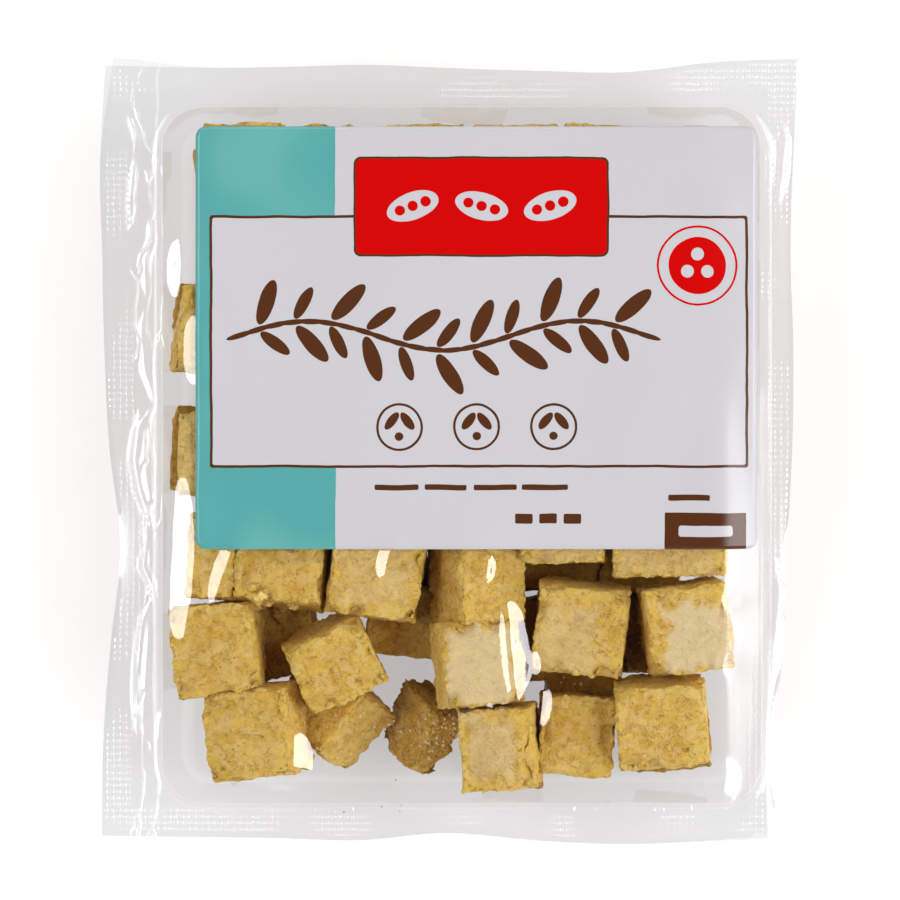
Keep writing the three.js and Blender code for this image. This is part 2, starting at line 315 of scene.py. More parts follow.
def tofu_curd():
    """Firm tofu: matte beige curd, golden towards the cut edges as painted highlight, pale on raised crumbs
    as painted highlight and brown in its hollows as painted shade, darkened where whey soaks it and lower
    down as painted shade, and pale where the film clings and, as painted light, on cubes left in too much
    shade.
    """
    material, tree, place = new_material("tofu_curd")
    pushed = pushed_about(tree, place, 1.4, (0.0012, 0.0012, 0.0012))
    mottle = grain(tree, place, 3.8, 3.0, 0.55)
    crumb = grain(tree, pushed, 0.9, 5.0, 0.68)
    lump = grain(tree, pushed, 2.0, 2.0, 0.5)
    fine = grain(tree, place, 0.34, 2.0)
    # flakes of curd with a dark rim painted as shadow, and a few splits between them, painted dark as shade
    flakes = grain(tree, pushed, 2.1, 4.0, 0.62)
    flake = ramp(tree, flakes, 0.49, 0.54)
    from_rim = number_of(tree, "ABSOLUTE", number_of(tree, "SUBTRACT", flakes, 0.49))
    rim = times(tree, ramp(tree, from_rim, 0.0, 0.022, 1.0, 0.0),
                ramp(tree, grain(tree, place, 2.8, 1.0), 0.44, 0.58, 0.0, 0.6))
    split = ramp(tree, cells(tree, pushed, 3.4, "DISTANCE_TO_EDGE"), 0.0, 0.04, 1.0, 0.0)
    fissure = times(tree, split, ramp(tree, grain(tree, place, 1.9, 1.0), 0.63, 0.69))
    wet_and_shade = from_mesh(tree, "wet_and_shade")
    base = blend(tree, ramp(tree, mottle, 0.36, 0.66), CURD, CURD_DEEP)
    for share, tone in (
        # painted highlight: golden glow towards the cut edges and over the side facing the right-hand lamps
        (times(tree, from_mesh(tree, "edge"), ramp(tree, mottle, 0.25, 0.75, 1.0, 0.6)), CURD_GOLD_AND_HIGHLIGHT),
        (ramp(tree, grain(tree, place, 2.3, 2.0), 0.56, 0.68, 0.0, 0.5), CURD_GOLD_AND_HIGHLIGHT),
        # painted highlight: paler curd on the raised crumbs
        (ramp(tree, crumb, 0.52, 0.68, 0.0, 0.5), CURD_PALE_HIGHLIGHT),
        # painted shade: brown in the hollows of the crumb relief
        (ramp(tree, crumb, 0.47, 0.30, 0.0, 0.52), CURD_BROWN_AND_SHADE),
        # painted highlight: paler tops of the raised flakes
        (times(tree, flake, 0.30), CURD_PALE_HIGHLIGHT),
        # painted shadow along the rims of the flakes
        (rim, CURD_BROWN_AND_SHADE),
        # painted shade in the splits
        (times(tree, fissure, 0.5), CURD_BROWN_AND_SHADE),
        (ramp(tree, cells(tree, place, 2.6), 0.04, 0.10, 0.8, 0.0), CURD_BROWN_AND_SHADE),
        # painted shade: brown in pits and chips
        (from_mesh(tree, "pit"), CURD_BROWN_AND_SHADE),
        # painted paler curd where the film clings, and painted light on cubes left in too much shade
        (times(tree, from_mesh(tree, "cling_and_painted_light"), ramp(tree, crumb, 0.25, 0.42, 0.5, 1.0)), CURD_CLING_AND_PAINTED_LIGHT),
    ):
        base = blend(tree, share, base, tone)
    # painted shade: curd darkened where whey soaks it, more towards the foot of each cube and on the lower
    # cubes in the gaps
    for share, tone in ((wet_and_shade, CURD_WET_AND_SHADE), (from_mesh(tree, "batch"), CURD_DARK_BATCH)):
        base = blend(tree, share, base, tone, mode="MULTIPLY")
    rough_cut = crumb
    for height, share in ((lump, 1.2), (fissure, -0.5), (flake, 0.22), (fine, 0.55)):
        rough_cut = number_of(tree, "MULTIPLY_ADD", height, share, rough_cut)
    coat(tree, node(tree, "ShaderNodeBsdfPrincipled", {
        "Base Color": base,
        "Roughness": number_of(tree, "MULTIPLY_ADD", wet_and_shade, -0.3, 0.66),
        "Specular IOR Level": 0.3,
        "Subsurface Weight": 0.1,
        "Subsurface Radius": (1.0, 0.6, 0.2),
        "Subsurface Scale": 0.0012,
        "Normal": raised(tree, rough_cut, 0.76, 0.9),
    }))
    return material


# Print: fields of ink on the label, drawn in order. Places are in millimetres from its middle.

WHITE_INK = colour(199, 197, 202)
TEAL_INK = colour(100, 172, 168)
TEAL_DEEP = colour(84, 162, 161)
BROWN_INK = colour(84, 46, 23)
RED_INK = colour(204, 0, 0)


def ink_box(at, half, corner, ink):
    return dict(at=at, half=half, corner=corner, ink=ink)


def ink_oval(at, half, turn, ink):
    return dict(at=at, half=half, turn=turn, ink=ink)


def ink_dot(at, radius, ink):
    return ink_oval(at, (radius, radius), 0.0, ink)


def ink_ring(at, radius, line, ink):
    return [ink_dot(at, radius, ink), ink_dot(at, radius - line, WHITE_INK)]


def bean_sprig(x, y, size):
    """Two small leaves and a dot."""
    return [
        ink_oval((x - 1.3 * size, y + 0.6 * size), (1.7 * size, 0.75 * size), 0.9, BROWN_INK),
        ink_oval((x + 1.3 * size, y + 0.6 * size), (1.7 * size, 0.75 * size), math.pi - 0.9, BROWN_INK),
        ink_dot((x, y - 1.9 * size), 0.7 * size, BROWN_INK),
    ]


def label_print():
    fields = [
        ink_box((-39.2, 0), (13.6, 40), 0.3, TEAL_INK),
        ink_box((0.45, -0.7), (48.9, 22.9), 0.5, BROWN_INK),
        ink_box((0.45, -0.7), (48.4, 22.4), 0.4, WHITE_INK),
        ink_box((0.9, 23.8), (23.2, 9.1), 1.3, BROWN_INK),
        ink_box((0.9, 23.8), (22.8, 8.7), 1.1, RED_INK),
    ]
    # a row of three pods on the red field
    for step, lean in ((-1, 0.35), (0, -0.25), (1, 0.3)):
        middle = 0.9 + step * 12.5
        fields.append(ink_oval((middle, 23.9), (4.9, 2.5), lean, WHITE_INK))
        for bean in (-1, 0, 1):
            spot = (middle + bean * 2.5 * math.cos(lean), 23.9 + bean * 2.5 * math.sin(lean))
            fields.append(ink_dot(spot, 0.95, RED_INK))
    # a long stem with leaves in pairs across the panel
    stem_from, stem_to, sag, waves = -43.0, 31.0, 2.6, 1.5
    joints = 24
    for step in range(joints):
        share = step / (joints - 1)
        x = stem_from + (stem_to - stem_from) * share
        y = 0.4 + sag * math.sin(share * math.tau * waves)
        rise = sag * math.tau * waves * math.cos(share * math.tau * waves)
        slope = math.atan2(rise, stem_to - stem_from)
        fields.append(ink_oval((x, y), (2.6, 0.5), slope, BROWN_INK))
        if step % 2 == 1 and step < joints - 1:
            up = 1 if step % 4 == 1 else -1
            for side, size in ((up, 1.25), (-up, 0.95)):
                lean = slope + side * 0.95
                reach = 4.2 * size
                spot = (x + reach * math.cos(lean), y + reach * math.sin(lean))
                fields.append(ink_oval(spot, (3.4 * size, 1.15 * size), lean, BROWN_INK))
    # three roundels with a sprig in each, under the stem
    for x in (-14.0, 0.0, 14.0):
        fields += ink_ring((x, -16.2), 4.3, 0.45, BROWN_INK)
        fields += bean_sprig(x, -15.8, 1.1)
    # plain round seal
    seal_x, seal_y = 40.1, 13.1
    fields += ink_ring((seal_x, seal_y), 7.3, 0.4, RED_INK)
    fields.append(ink_dot((seal_x, seal_y), 5.2, RED_INK))
    for turn in (90, 210, 330):
        spot = (seal_x + 2.1 * math.cos(math.radians(turn)), seal_y + 2.1 * math.sin(math.radians(turn)))
        fields.append(ink_dot(spot, 1.15, WHITE_INK))
    # dark block with a pale bar, and fine rules where small print goes
    fields += [
        ink_box((41.6, -35.1), (7.4, 3.3), 0.2, BROWN_INK),
        ink_box((41.6, -35.1), (4.9, 1.0), 0.5, WHITE_INK),
        ink_box((38.6, -29.1), (3.8, 0.55), 0.25, BROWN_INK),
    ]
    for x, half in ((-14.5, 4.0), (-5.6, 3.8), (3.4, 3.9), (12.4, 4.2)):
        fields.append(ink_box((x, -27.2), (half, 0.5), 0.3, BROWN_INK))
    for x in (8.6, 13.0, 17.4):
        fields.append(ink_box((x, -32.9), (1.6, 0.9), 0.3, BROWN_INK))
    return fields


def label_paper():
    """Coated paper with its print, in flat fields of ink."""
    material, tree, place = new_material("label_paper")
    middle = (label_middle.x, label_middle.y, 0)
    flat = vector_of(tree, "MULTIPLY", vector_of(tree, "SUBTRACT", place, middle), (1 / MM, 1 / MM, 0))
    # a hand-drawn wobble in every outline
    flat = pushed_about(tree, place, 8.0, (0.5, 0.5, 0), flat)
    cloud = grain(tree, place, 26.0, 1.0)
    painted = WHITE_INK
    for field in label_print():
        here = vector_of(tree, "SUBTRACT", flat, (*field["at"], 0))
        half_x, half_y = field["half"]
        if "turn" in field:
            sockets = {"Vector": here, "Angle": -field["turn"]}
            turned = node(tree, "ShaderNodeVectorRotate", sockets, rotation_type="Z_AXIS")
            outwards = vector_of(tree, "DIVIDE", turned.outputs["Vector"], (half_x, half_y, 1))
            reach = 1.0
        else:
            reach = field["corner"]
            folded = vector_of(tree, "ABSOLUTE", here)
            over = vector_of(tree, "SUBTRACT", folded, (half_x - reach, half_y - reach, 0))
            outwards = vector_of(tree, "MAXIMUM", over, (0, 0, 0))
        inside = number_of(tree, "LESS_THAN", vector_of(tree, "LENGTH", outwards), reach)
        ink = field["ink"]
        if ink is TEAL_INK:
            # painted sheen: the teal is painted darker in broad random patches for the uneven sheen of the
            # coated paper
            ink = blend(tree, ramp(tree, cloud, 0.36, 0.56), TEAL_INK, TEAL_DEEP)
        painted = blend(tree, inside, painted, ink)
    coat(tree, node(tree, "ShaderNodeBsdfPrincipled", {
        "Base Color": painted,
        "Roughness": 0.22,
        "Specular IOR Level": 0.5,
        "Normal": raised(tree, grain(tree, place, 0.5, 3.0), 0.12, 0.1),
    }))
    return material


def water_bead():
    material, tree, place = new_material("water_bead")
    through = node(tree, "ShaderNodeBsdfTransparent", {"Color": (0.97, 0.93, 0.86, 1)})
    # painted glint: a pale, warm, mostly diffuse shine stands in for each bead's sparkle, warmed by the
    # curd seen through it
    shine = node(tree, "ShaderNodeBsdfPrincipled", {
        "Base Color": (1.0, 0.80, 0.50, 1),
        "Metallic": 0.1,
        "Roughness": ramp(tree, grain(tree, place, 1.0), 0.3, 0.7, 0.25, 0.45),
    })
    share = number_of(tree, "MULTIPLY_ADD", slant_of(tree, 2.0), 0.15, 0.85)
    coat(tree, mixed(tree, share, through, shine))
    return material


def studio_floor():
    material, tree, place = new_material("studio_floor")
    tone = blend(tree, grain(tree, place, 300.0, 0.0), (0.50, 0.50, 0.50, 1), (0.51, 0.51, 0.51, 1))
    surface = node(tree, "ShaderNodeBsdfDiffuse", {"Color": tone})
    glow = node(tree, "ShaderNodeEmission", {"Color": (1, 1, 1, 1), "Strength": 0.56})
    coat(tree, node(tree, "ShaderNodeAddShader", enumerate((surface.outputs[0], glow.outputs[0]))))
    return material


# ---- Tofu ----

CAMERA_HEIGHT = 1100.0          # above the flange
VIEW_SIZE = 900                 # pixels across the view
VIEW_SCALE = 5.5                # pixels to the millimetre at the flange
VIEW_MIDDLE = VIEW_SIZE / 2


def from_view(px, py, height=POCKET_DEPTH):
    """Millimetres from a place on the view and a height."""
    scale = VIEW_SCALE * CAMERA_HEIGHT / (CAMERA_HEIGHT + POCKET_DEPTH - height)
    return ((px - VIEW_MIDDLE) / scale, (VIEW_MIDDLE - py) / scale, height)


# Each cube: the middle of its top face on the view and its height, its sides (width, length,
# depth), its turn, and its tilts about its own x and y, in millimetres and degrees.
MIDDLE_ROW = (
    (213, 651, 32.4, 15.6, 16.3, 15.4, 7, 1, -6),
    (336, 668, 32.2, 14.8, 12.8, 15.6, 25, 10, 0),
    (211, 556, 30.6, 9.0, 15.0, 15.0, -4, -3, -4),
    (279, 559, 32.0, 15.8, 15.0, 15.4, -5, -8, -4),
    (377, 570, 32.5, 16.8, 17.0, 15.4, -7, -2, 2),
    (494, 580, 31.8, 12.6, 15.6, 15.6, 2, 0, 23),
    (562, 520, 32.3, 15.6, 16.0, 15.0, 1, 2, 0),
)
FRONT_ROW = (
    (245, 735, 31.6, 15.8, 16.4, 16.0, 6, 2, -16),
    (670, 534, 32.6, 20.6, 15.6, 15.0, 1, 2, -1),
    (580, 633, 32.4, 16.4, 16.0, 15.6, -6, 6, -2),
    (690, 630, 33.3, 15.0, 15.6, 15.4, 7, 3, 4),
    (484, 664, 33.5, 14.9, 15.4, 15.6, 5, 1, 8),
    (496, 750, 31.9, 13.6, 15.0, 15.6, 4, 2, -7),
    (662, 729, 31.8, 16.4, 15.2, 15.4, 4, 8, -2),
)
LOWER_ROW = (
    (578, 736, 26.0, 13.6, 14.6, 15.4, -4, 0, 2),
    (357, 735, 19.6, 13.2, 14.2, 15.2, -41, 2, 57),
    (276, 634, 17.6, 15.0, 15.6, 15.2, 14, 0, 0),
    (404, 620, 17.4, 13.4, 13.4, 15.2, -6, 0, 0),
)
SOAKED_CUBE = (
    (407, 727, 15.7, 13.3, 13.3, 6.0, -24, 24, -50),
)
SODDEN_AND_SHADED_ROW = (
    (222, 655, 15.7, 13.2, 13.6, 15.2, -3, 0, 0),
    (238, 546, 15.9, 12.8, 14.8, 15.4, 3, 0, 0),
    (312, 546, 16.1, 13.2, 15.0, 15.4, -3, 0, 0),
    (386, 548, 15.9, 14.8, 15.2, 15.4, 2, 0, 0),
    (470, 546, 16.0, 15.0, 14.8, 15.4, -2, 0, 0),
    (558, 548, 16.2, 15.2, 15.2, 15.4, 3, 0, 0),
    (642, 552, 16.0, 15.0, 15.0, 15.4, -4, 0, 0),
    (518, 641, 16.2, 13.6, 15.2, 15.4, 3, 0, 0),
    (514, 752, 15.8, 11.0, 13.4, 15.2, -3, 0, 0),
    (585, 660, 16.2, 14.0, 14.4, 15.4, -4, 0, 0),
    (654, 631, 16.3, 11.6, 15.0, 15.4, 4, 0, 0),
    (672, 732, 15.8, 13.4, 14.2, 15.2, 5, 0, 0),
)

# Where the lid film sticks flat to a cube, and where a cube left in too much shade is painted paler: middle
# and half size on the view, and how pale
CLING_AND_PAINTED_LIGHT_PATCHES = (
    (480, 665, 36, 42, 0.85),
    (698, 638, 34, 34, 0.95),
    (566, 642, 32, 36, 0.35),
    (492, 750, 22, 30, 0.45),
    # these four stay below the sticking share: painted light that pales cubes left in too much shade
    (374, 577, 36, 28, 0.24),
    (185, 445, 16, 42, 0.24),
    (562, 552, 40, 12, 0.24),
    (668, 562, 52, 16, 0.24),
)


def back_rows(rng):
    """Cubes behind the label: rough rows, each cube turned and tipped a little, and a few below."""
    upper = []
    # each row's place down the view, the place of its first cube across, and how far cubes tip
    rows = ((167, 243, 3.0), (252, 244, 5.4), (335, 222, 5.0), (447, 221, 5.0))
    for py, first, span in rows:
        for column in range(6):
            px = first + column * (694 - first) / 5 + rng.uniform(-4, 4) * (column > 0)
            down = rng.uniform(-4, 4) * (0.4 if py < 200 else 1.0)
            if py > 400 and column > 2:
                down -= 22
            sides = [rng.uniform(14.4, 15.9) for _ in range(3)]
            turn = rng.uniform(-9, 9) * (0.3 if py < 200 else 1.0)
            tips = [rng.uniform(-span, span) for _ in range(2)]
            upper.append((px, py + down, rng.uniform(31.5, 32.5), *sides, turn, *tips))
    lower = []
    for px, py in ((214, 452), (216, 330), (240, 182), (690, 178), (698, 300), (700, 428),
                   (470, 170), (390, 330), (530, 430)):
        sides = [rng.uniform(14.4, 15.6) for _ in range(3)]
        lower.append((px, py, 16.0, *sides, rng.uniform(-12, 12), 0, 0))
    return tuple(upper), tuple(lower)


def curd_block(cuts):
    """A cube two units wide, with its faces gridded and the grid drawn close to the edges."""
    bm = bmesh.new()
    bmesh.ops.create_cube(bm, size=2.0)
    bmesh.ops.subdivide_edges(bm, edges=bm.edges[:], cuts=cuts, use_grid_fill=True)
    spread = 1.2
    for vert in bm.verts:
        for axis in range(3):
            vert.co[axis] = math.sin(vert.co[axis] * spread) / math.sin(spread)
    return into_mesh("curd_block", bm)


EDGE_ROUND = 0.5                # the knife leaves the cubes' edges this sharp
WHEY_AND_SHADE_LINE = (11.0, 19.0)        # whey soaks the cubes and painted shade darkens them up to the first height, and none past the second
FOOT_CLEAR = 0.15               # between the tray film and the lowest cubes
BEADS_BELOW = 24.0              # beads of whey stay on the lower cubes
BATCH_SEED = 6288               # draws how dark each cube's batch of curd is
ABOVE_ALL = 60.0


def crumble(vert, half, seed, layers):
    """Move one point of a gridded cube onto a pitted, chipped and ragged block of curd."""
    place = Vector((vert.co[i] * half[i] for i in range(3)))
    core = [half[i] - EDGE_ROUND for i in range(3)]
    held = Vector((min(max(place[i], -core[i]), core[i]) for i in range(3)))
    out = (place - held).normalized()
    skin = held + out * EDGE_ROUND
    from_edge = sorted(half[i] - abs(place[i]) for i in range(3))[1]
    spot = skin + Vector((seed * 7.31, seed * 3.17, seed * 1.93))

    # swells, lumps, a ragged rim, chips, worn corners and pits, each with its pitch and its depth
    swell = noise.noise(spot / 9.0) * 0.5 + noise.noise(spot / 4.5) * 0.25
    lumps = noise.noise(spot / 2.2) * 0.26 + noise.noise(spot / 1.1) * 0.22 + noise.noise(spot / 0.6) * 0.10
    edge = max(0.0, 1 - from_edge / 1.2)
    ragged = noise.noise(spot / 0.6) * 0.85 + noise.noise(spot / 1.5) * 0.6
    chip = max(0.0, noise.noise(spot / 3.6) - 0.18) * 5.5 * max(0.0, 1 - from_edge / 3.2)
    from_corner = math.sqrt(sum((half[i] - abs(place[i])) ** 2 for i in range(3)))
    corner = Vector((math.copysign(9.4, place.x), math.copysign(7.7, place.y), seed * 1.3))
    worn = 0.9 + 2.2 * noise.noise(corner)
    blunt = max(0.0, worn) * max(0.0, 1 - from_corner / 3.6)
    near, seeds = noise.voronoi(spot / 2.6)
    pit = max(0.0, 1 - near[0] / 0.20) ** 0.6 if noise.cell(seeds[0] * 5.3) > 0.55 else 0.0
    vert.co = skin + out * (swell + lumps + edge * min(ragged, 0.22) - chip - blunt - 0.55 * pit)
    # painted highlight: the edge mark grows towards the cut edges and over the upper +x side, which faces
    # the right-hand lamps
    lit_side = max(0.0, 1 - (half[0] - place.x) / 2.8) if place.z > 0 else 0.0
    vert[layers["edge"]] = max(max(0.0, 1 - from_edge / 2.8) ** 1.2, lit_side ** 0.5)
    # painted shade: the pit mark darkens the curd in pits and chips
    vert[layers["pit"]] = min(0.7, 0.6 * pit + 0.12 * chip)


LAYERS = ("edge", "pit", "wet_and_shade", "batch", "cling_and_painted_light")


def pile(cubes, cuts, wet_and_shade, first_seed):
    """All the cubes of one row as one shape."""
    block = curd_block(cuts)
    bm = bmesh.new()
    layers = {name: bm.verts.layers.float.new(name) for name in LAYERS}
    for index, (px, py, height, width, length, depth, turn, tip_x, tip_y) in enumerate(cubes):
        start = len(bm.verts)
        bm.from_mesh(block)
        bm.verts.ensure_lookup_table()
        fresh = bm.verts[start:]
        seed = first_seed + index
        half = (width / 2, length / 2, depth / 2)
        batch = random.Random(seed + BATCH_SEED).uniform(0, 0.35)
        for vert in fresh:
            crumble(vert, half, seed, layers)
            vert[layers["batch"]] = batch
        turned = (
            Matrix.Rotation(math.radians(turn), 4, "Z")
            @ Matrix.Rotation(math.radians(tip_x), 4, "X")
            @ Matrix.Rotation(math.radians(tip_y), 4, "Y")
        )
        top = Vector(from_view(px, py, height))
        middle = top - turned.to_3x3() @ Vector((0, 0, depth / 2))
        bmesh.ops.transform(bm, matrix=Matrix.Translation(middle) @ turned, verts=fresh)
        # whey gathers below and soaks the foot of each cube, and the foot is darkened further as painted
        # shade
        for vert in fresh:
            vert[layers["wet_and_shade"]] = max(wet_and_shade, 0.6 * (1 - smoothstep(*WHEY_AND_SHADE_LINE, vert.co.z)))
    bpy.data.meshes.remove(block)
    return bm


def stands_of(shapes):
    """One tree to look down on several shapes with."""
    stand = bmesh.new()
    for shape in shapes:
        mesh = bpy.data.meshes.new("stand")
        shape.to_mesh(mesh)
        stand.from_mesh(mesh)
        bpy.data.meshes.remove(mesh)
    tree = BVHTree.FromBMesh(stand)
    stand.free()
    return tree


def look_down(tree, x, y):
    """Place and slope of whatever lies uppermost at x, y."""
    return tree.ray_cast(Vector((x, y, ABOVE_ALL)), Vector((0, 0, -1)))[:2]


# Loose crumbs and beads: middle and reach on the view, how many, and the crumbs' sizes
CRUMB_SPOTS = (
    (264, 592, 7, 9, (0.5, 1.1)),
    (262, 600, 10, 16, (0.8, 1.7)),
    (284, 612, 14, 16, (1.0, 2.2)),
    (256, 606, 5, 5, (0.4, 0.8)),
    (225, 786, 5, 3, (0.7, 1.2)),
    (640, 760, 10, 6, (0.4, 0.9)),
    (300, 700, 8, 4, (0.3, 0.6)),
    (400, 790, 60, 5, (0.2, 0.4)),
)
BEAD_SPOTS = (
    (420, 726, 38, 80),
    (438, 732, 22, 70),
    (300, 684, 14, 20),
    (272, 655, 12, 12),
    (350, 740, 34, 50),
    (578, 738, 38, 60),
    (575, 690, 26, 24),
    (630, 640, 10, 12),
    (530, 700, 10, 16),
)


def crumbs(tree, rng):
    """Crumbs fallen from the cubes, lying on whatever is under them."""
    bm = bmesh.new()
    layers = {name: bm.verts.layers.float.new(name) for name in LAYERS}
    for px, py, reach, count, (least, most) in CRUMB_SPOTS:
        for _ in range(count):
            x, y, _ = from_view(px + rng.gauss(0, reach / 2), py + rng.gauss(0, reach / 2), 30.0)
            place = look_down(tree, x, y)[0]
            size = rng.uniform(least, most) / 2
            rest = max(place.z, FILM_FLOOR) if place else FILM_FLOOR
            made = bmesh.ops.create_icosphere(bm, subdivisions=3, radius=size)["verts"]
            seed = Vector((rng.uniform(0, 90), 0, 0))
            for vert in made:
                spot = vert.co / size
                knobs = noise.noise(spot * 1.1 + seed) + 0.7 * noise.noise(spot * 2.6 + seed)
                vert.co *= 1 + 0.5 * knobs
                vert[layers["edge"]] = 0.2
            bmesh.ops.translate(bm, verts=made, vec=(x, y, rest + size * (0.6 if place else 1.3)))
    return bm


def beads(tree, rng):
    """Beads of whey that cling to the wet cubes below."""
    bm = bmesh.new()
    for px, py, reach, count in BEAD_SPOTS:
        for _ in range(count):
            turn, out = rng.uniform(0, math.tau), reach * math.sqrt(rng.random())
            x, y, _ = from_view(px + out * math.cos(turn), py + out * math.sin(turn), 18.0)
            place, slope = look_down(tree, x, y)
            if place is None or place.z > BEADS_BELOW:
                continue
            size = 0.10 + 0.28 * rng.random() ** 3.0
            made = bmesh.ops.create_icosphere(bm, subdivisions=1, radius=size)["verts"]
            bmesh.ops.translate(bm, verts=made, vec=place + slope * size * 0.35)
    return bm


# ---- Films ----

FILM_FLOOR = 0.15
FILM_CLEAR = 0.08               # between the taut film and the cubes that it spans
STICKS_AT = 0.25                # patches paler than this hold the film down
TOP_LAYER = 30.0                # the upper cubes' top faces have their middles above this
TOP_EDGE = 26.0                 # and the low ends of the tilted ones lie above this
FACES_UP = 0.55                 # how far upwards a face looks that the film can touch
DEEPEST_DIP = 2.5               # of the film between cubes, below the flange
GAS_LIFT = 0.0006 / finer       # how far the gas lifts the film in one pass
EDGE_TRIM = 0.06
ARC_STEPS, SIDE_STEPS = 10, 44  # facets of a pocket's corner and of each side
# Film rubbed dull beside the cubes: where it sets in and fades, across and along, and how dull
DULL_STRIP = ((49.0, 51.5, 57.5, 59.0), (-66.0, -60.0, 8.0, 14.0))
DULLNESS = 1.7

# Folds in the lid film: the crest's line down the view, the reach of its left and right flanks,
# and how far it stands up
FOLDS = (
    (((190, 468), (197, 510), (198, 550), (194, 596), (184, 642)), 4.6, 5.2, 1.06),
    (((238, 538), (233, 560), (222, 585), (211, 608)), 4.9, 5.8, 1.3),
    (((181, 240), (182, 268), (180, 298)), 2.3, 1.7, 0.5),
    (((199, 312), (200, 350), (199, 388)), 3.0, 2.0, 0.82),
    (((395, 540), (390, 558), (384, 580)), 2.4, 4.6, 0.8),
    (((487, 553), (487, 566), (485, 582)), 1.8, 1.5, 0.42),
    (((542, 682), (540, 704), (536, 730)), 4.2, 2.4, 0.64),
    (((504, 598), (509, 640), (512, 676), (516, 706)), 2.0, 3.4, 0.95),
    (((290, 728), (290, 758), (288, 790)), 14.0, 4.4, 1.2),
    (((724, 380), (720, 440), (719, 520), (720, 600), (723, 690), (727, 780)), 9.0, 7.0, 1.05),
    (((722, 748), (724, 775), (718, 808)), 5.0, 3.4, 0.95),
    # flattened tucks along the flange
    (((166, 408), (150, 413), (139, 430), (136, 460), (141, 490), (150, 514), (147, 545)), 1.6, 1.6, 0.62),
    (((147, 545), (144, 566), (153, 584), (156, 600)), 1.1, 1.1, 0.55),
    (((154, 598), (144, 620), (140, 660), (138, 700), (139, 742)), 1.4, 1.4, 0.6),
    (((150, 215), (153, 240), (146, 262), (148, 300)), 1.4, 1.4, 0.55),
    (((139, 150), (134, 172), (131, 205), (134, 240)), 1.0, 1.0, 0.4),
    (((148, 300), (143, 330), (146, 372), (157, 404)), 1.2, 1.2, 0.45),
    (((128, 112), (136, 132), (138, 150)), 0.9, 0.9, 0.3),
    (((779, 118), (784, 140), (781, 178), (776, 205)), 1.4, 1.4, 0.45),
    (((764, 126), (770, 150), (768, 196)), 1.8, 1.8, 0.5),
    (((772, 555), (779, 590), (775, 640)), 1.3, 1.3, 0.35),
    (((170, 96), (210, 86), (262, 78)), 1.0, 1.0, 0.22),
    (((560, 812), (620, 808), (690, 812)), 1.0, 1.0, 0.22),
)


def along_line(points, x, y):
    """Gap from each place to a line, plus on the right of one that runs down, and its foot's share."""
    spots = [from_view(px, py)[:2] for px, py in points]
    lengths = [math.dist(a, b) for a, b in zip(spots, spots[1:])]
    total, gone = sum(lengths), 0.0
    best = np.full(np.shape(x), 1e9)
    share = np.zeros(np.shape(x))
    for (ax, ay), (bx, by), length in zip(spots, spots[1:], lengths):
        t = np.clip(((x - ax) * (bx - ax) + (y - ay) * (by - ay)) / length**2, 0, 1)
        gap = np.hypot(x - ax - t * (bx - ax), y - ay - t * (by - ay))
        side = np.sign((bx - ax) * (y - ay) - (by - ay) * (x - ax))
        closer = gap < np.abs(best)
        share = np.where(closer, (gone + t * length) / total, share)
        best = np.where(closer, gap * np.where(side == 0, 1, side), best)
        gone += length
    return best, share


def folds(x, y):
    """Relief of the folds: ridges with straight flanks that die out at both ends."""
    relief = np.zeros(np.shape(x))
    for points, left, right, height in FOLDS:
        gap, share = along_line(points, x, y)
        taper = np.clip(4.2 * share * (1 - share), 0, 1) ** 0.6
        reach = np.where(gap > 0, right, left) * (0.35 + 0.65 * taper)
        climb = np.clip(1 - np.abs(gap) / reach, 0, 1)
        climb = np.where(climb > 0.85, 0.85 + (climb - 0.85) * 0.4, climb)
        relief = np.maximum(relief, height * taper * climb)
    return relief


def sheet_grid(columns, rows):
    """Places of a sheet of film that fills the trimmed outline, row by row."""
    u, v = np.meshgrid(np.linspace(0, 1, columns + 1), np.linspace(0, 1, rows + 1))
    left = -BLANK[0] / 2 + EDGE_TRIM + drawn_in(LEFT_PULL, 1 - v)
    right = BLANK[0] / 2 - EDGE_TRIM - drawn_in(RIGHT_PULL, v)
    bottom = -BLANK[1] / 2 + EDGE_TRIM + drawn_in(BOTTOM_PULL, u)
    top = BLANK[1] / 2 - EDGE_TRIM - drawn_in(TOP_PULL, 1 - u)
    return left + (right - left) * u, bottom + (top - bottom) * v


def round_about(field):
    """Mean of the four neighbours of each place."""
    return (np.roll(field, 1, 0) + np.roll(field, -1, 0) + np.roll(field, 1, 1) + np.roll(field, -1, 1)) / 4


def cling_and_painted_light_field(x, y):
    """How much paler a cube is where the film sticks to it, and where it is painted paler for too much
    shade, with a wandering border.
    """
    field = np.zeros(np.shape(x))
    for px, py, half_x, half_y, pale in CLING_AND_PAINTED_LIGHT_PATCHES:
        middle_x, middle_y, _ = from_view(px, py)
        far_x = np.abs(x - middle_x) / (half_x / VIEW_SCALE)
        far_y = np.abs(y - middle_y) / (half_y / VIEW_SCALE)
        far = np.maximum(far_x, far_y)
        near = far < 1.5
        ragged = np.zeros(np.shape(x))
        ragged[near] = film_noise(x[near], y[near], 2.6, 2.6, px) * 0.34
        field = np.maximum(field, pale * (1 - smoothstep(0.80, 1.05, far + ragged)))
    return field


